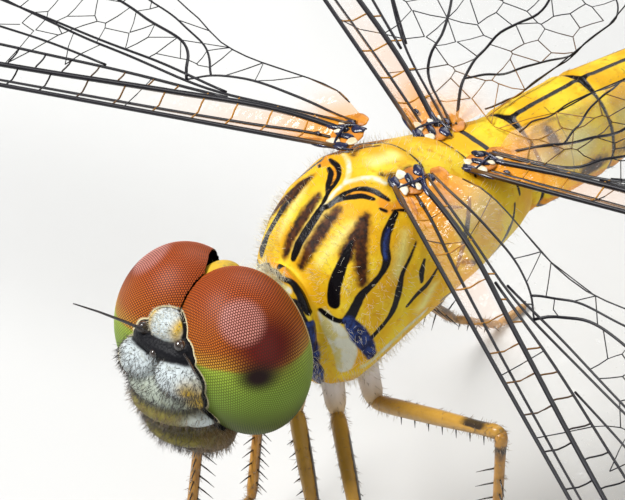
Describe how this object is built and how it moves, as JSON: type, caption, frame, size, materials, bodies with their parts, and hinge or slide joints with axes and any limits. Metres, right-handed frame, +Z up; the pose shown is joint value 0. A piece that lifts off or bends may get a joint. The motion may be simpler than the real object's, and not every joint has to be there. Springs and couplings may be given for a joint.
{
  "type": "dragonfly",
  "caption": "Life-size skimmer dragonfly standing on its feet with the wings spread and drooped, yellow with black bands and large red and green eyes.",
  "frame": {"origin": "middle of the model's box on the floor it stands on", "axes": "+Z up, the head towards -Y, the animal's left towards +X"},
  "size_m": [0.0646, 0.0414, 0.0152],
  "materials": {
    "eye": "gloss",
    "face": "matt",
    "black_shell": "gloss",
    "yellow_shell": "satin",
    "leg": "satin",
    "wing": "gloss"
  },
  "bodies": {
    "root": {"abdomen_1": "yellow_shell", "abdomen_10": "yellow_shell", "abdomen_2": "yellow_shell", "abdomen_3": "yellow_shell", "abdomen_4": "yellow_shell", "abdomen_5": "yellow_shell", "abdomen_6": "yellow_shell", "abdomen_7": "yellow_shell", "abdomen_8": "yellow_shell", "abdomen_9": "yellow_shell", "antenna_left": "black_shell", "antenna_right": "black_shell", "cercus_left": "black_shell", "cercus_right": "black_shell", "eye_left": "eye", "eye_right": "eye", "forewing_left": "wing", "forewing_right": "wing", "head": "face", "hindwing_left": "wing", "hindwing_right": "wing", "labium": "face", "labrum": "face", "leg_fore_left_coxa": "leg", "leg_fore_left_femur": "leg", "leg_fore_left_foot": "black_shell", "leg_fore_left_tibia": "leg", "leg_fore_right_coxa": "leg", "leg_fore_right_femur": "leg", "leg_fore_right_foot": "black_shell", "leg_fore_right_tibia": "leg", "leg_hind_left_coxa": "leg", "leg_hind_left_femur": "leg", "leg_hind_left_foot": "black_shell", "leg_hind_left_tibia": "leg", "leg_hind_right_coxa": "leg", "leg_hind_right_femur": "leg", "leg_hind_right_foot": "black_shell", "leg_hind_right_tibia": "leg", "leg_mid_left_coxa": "leg", "leg_mid_left_femur": "leg", "leg_mid_left_foot": "black_shell", "leg_mid_left_tibia": "leg", "leg_mid_right_coxa": "leg", "leg_mid_right_femur": "leg", "leg_mid_right_foot": "black_shell", "leg_mid_right_tibia": "leg", "prothorax": "black_shell", "thorax": "yellow_shell"}
  },
  "joints": []
}
